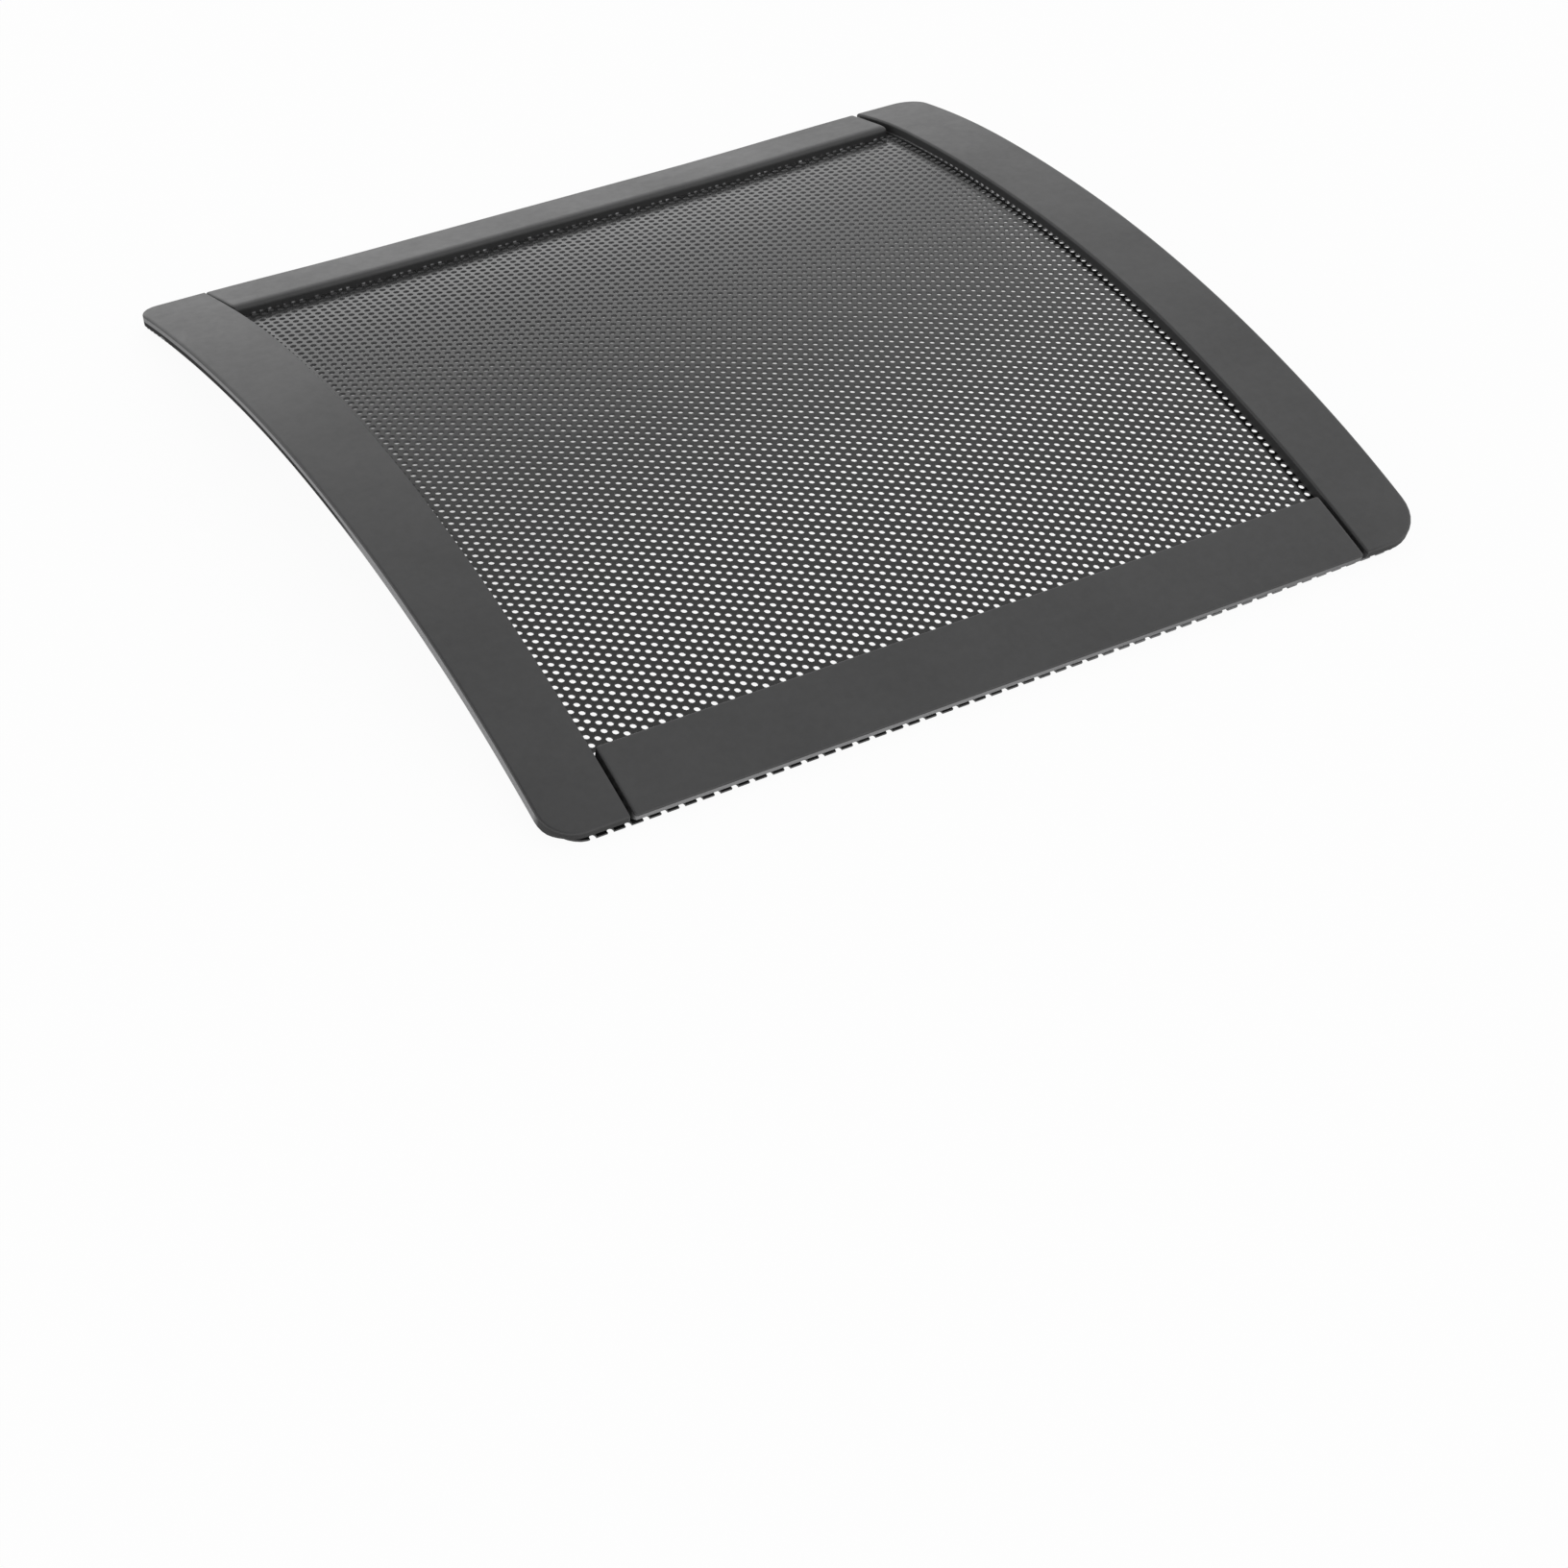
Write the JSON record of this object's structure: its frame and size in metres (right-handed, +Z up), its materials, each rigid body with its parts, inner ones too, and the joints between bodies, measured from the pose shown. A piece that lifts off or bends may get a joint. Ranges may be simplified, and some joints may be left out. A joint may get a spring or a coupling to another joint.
{
  "type": "fan dust filter",
  "caption": "Square dust filter for a cooling fan: a thin perforated plastic sheet with flat magnetic strips along its edges, bowed into a low arch.",
  "frame": {"origin": "centre of the footprint, at the height of the two bowed-down ends that the filter rests on", "axes": "+X across the filter, from the left side strip to the right one; +Y along the bow, from the wider cross strip to the narrower one; +Z up, out of the face that carries the strips"},
  "size_m": [0.12, 0.1192, 0.0101],
  "materials": {
    "sheet_plastic": "fine satin, charcoal black",
    "strip_rubber": "smooth satin, charcoal black"
  },
  "bodies": {
    "root": {"perforated_sheet": "sheet_plastic", "magnet_strip_left": "strip_rubber", "magnet_strip_right": "strip_rubber", "magnet_strip_front": "strip_rubber", "magnet_strip_back": "strip_rubber"}
  },
  "joints": []
}
